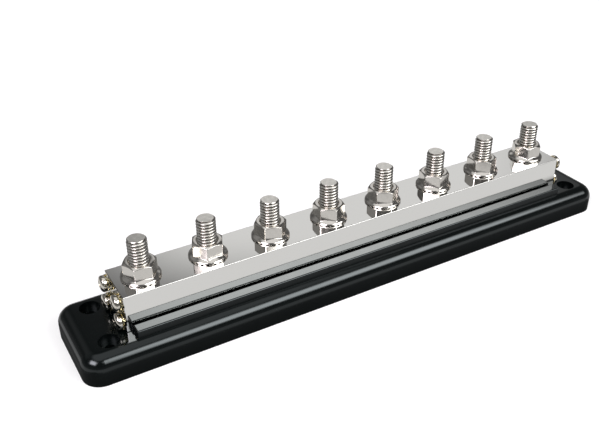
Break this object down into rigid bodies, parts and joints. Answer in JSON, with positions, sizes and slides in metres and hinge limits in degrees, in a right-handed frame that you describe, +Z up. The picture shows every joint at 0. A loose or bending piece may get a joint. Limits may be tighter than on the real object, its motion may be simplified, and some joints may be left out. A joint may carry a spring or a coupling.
{
  "type": "bus bar",
  "caption": "Heavy bus bar: a plated metal bar with a row of threaded studs and flange nuts, small screws on both ends, on a black moulded base with rails and mounting holes.",
  "frame": {"origin": "middle of the base's underside", "axes": "+X along the bar, +Z up out of the mounting surface along the studs, +Y across the bar to the back"},
  "size_m": [0.3106, 0.0518, 0.054],
  "materials": {
    "base_plastic": "glossy moulded black plastic",
    "bar_plating": "bright tin plating on copper",
    "stud_metal": "bright stainless steel",
    "nut_metal": "bright stainless steel",
    "screw_metal": "bright plated steel"
  },
  "bodies": {
    "main": {"base": "base_plastic", "bar": "bar_plating", "stud_1": "stud_metal", "stud_2": "stud_metal", "stud_3": "stud_metal", "stud_4": "stud_metal", "stud_5": "stud_metal", "stud_6": "stud_metal", "stud_7": "stud_metal", "stud_8": "stud_metal", "fixing_screw_1": "screw_metal", "fixing_screw_2": "screw_metal", "fixing_screw_3": "screw_metal"},
    "nut_1": {"nut_1": "nut_metal"},
    "nut_2": {"nut_2": "nut_metal"},
    "nut_3": {"nut_3": "nut_metal"},
    "nut_4": {"nut_4": "nut_metal"},
    "nut_5": {"nut_5": "nut_metal"},
    "nut_6": {"nut_6": "nut_metal"},
    "nut_7": {"nut_7": "nut_metal"},
    "nut_8": {"nut_8": "nut_metal"},
    "left_screw_1": {"left_screw_1": "screw_metal", "left_washer_1": "screw_metal"},
    "left_screw_2": {"left_screw_2": "screw_metal", "left_washer_2": "screw_metal"},
    "left_screw_3": {"left_screw_3": "screw_metal", "left_washer_3": "screw_metal"},
    "left_screw_4": {"left_screw_4": "screw_metal", "left_washer_4": "screw_metal"},
    "right_screw_1": {"right_screw_1": "screw_metal", "right_washer_1": "screw_metal"},
    "right_screw_2": {"right_screw_2": "screw_metal", "right_washer_2": "screw_metal"},
    "right_screw_3": {"right_screw_3": "screw_metal", "right_washer_3": "screw_metal"},
    "right_screw_4": {"right_screw_4": "screw_metal", "right_washer_4": "screw_metal"}
  },
  "joints": [
    {"name": "nut_1_travel", "type": "slide", "parent": "main", "child": "nut_1", "axis": [0, 0, 1], "range_m": [0, 0.0119]},
    {"name": "nut_2_travel", "type": "slide", "parent": "main", "child": "nut_2", "axis": [0, 0, 1], "range_m": [0, 0.0119]},
    {"name": "nut_3_travel", "type": "slide", "parent": "main", "child": "nut_3", "axis": [0, 0, 1], "range_m": [0, 0.0119]},
    {"name": "nut_4_travel", "type": "slide", "parent": "main", "child": "nut_4", "axis": [0, 0, 1], "range_m": [0, 0.0119]},
    {"name": "nut_5_travel", "type": "slide", "parent": "main", "child": "nut_5", "axis": [0, 0, 1], "range_m": [0, 0.0119]},
    {"name": "nut_6_travel", "type": "slide", "parent": "main", "child": "nut_6", "axis": [0, 0, 1], "range_m": [0, 0.0119]},
    {"name": "nut_7_travel", "type": "slide", "parent": "main", "child": "nut_7", "axis": [0, 0, 1], "range_m": [0, 0.0119]},
    {"name": "nut_8_travel", "type": "slide", "parent": "main", "child": "nut_8", "axis": [0, 0, 1], "range_m": [0, 0.0119]},
    {"name": "left_screw_1_travel", "type": "slide", "parent": "main", "child": "left_screw_1", "axis": [-1, 0, 0], "range_m": [0, 0.006]},
    {"name": "left_screw_2_travel", "type": "slide", "parent": "main", "child": "left_screw_2", "axis": [-1, 0, 0], "range_m": [0, 0.006]},
    {"name": "left_screw_3_travel", "type": "slide", "parent": "main", "child": "left_screw_3", "axis": [-1, 0, 0], "range_m": [0, 0.006]},
    {"name": "left_screw_4_travel", "type": "slide", "parent": "main", "child": "left_screw_4", "axis": [-1, 0, 0], "range_m": [0, 0.006]},
    {"name": "right_screw_1_travel", "type": "slide", "parent": "main", "child": "right_screw_1", "axis": [1, 0, 0], "range_m": [0, 0.006]},
    {"name": "right_screw_2_travel", "type": "slide", "parent": "main", "child": "right_screw_2", "axis": [1, 0, 0], "range_m": [0, 0.006]},
    {"name": "right_screw_3_travel", "type": "slide", "parent": "main", "child": "right_screw_3", "axis": [1, 0, 0], "range_m": [0, 0.006]},
    {"name": "right_screw_4_travel", "type": "slide", "parent": "main", "child": "right_screw_4", "axis": [1, 0, 0], "range_m": [0, 0.006]}
  ]
}
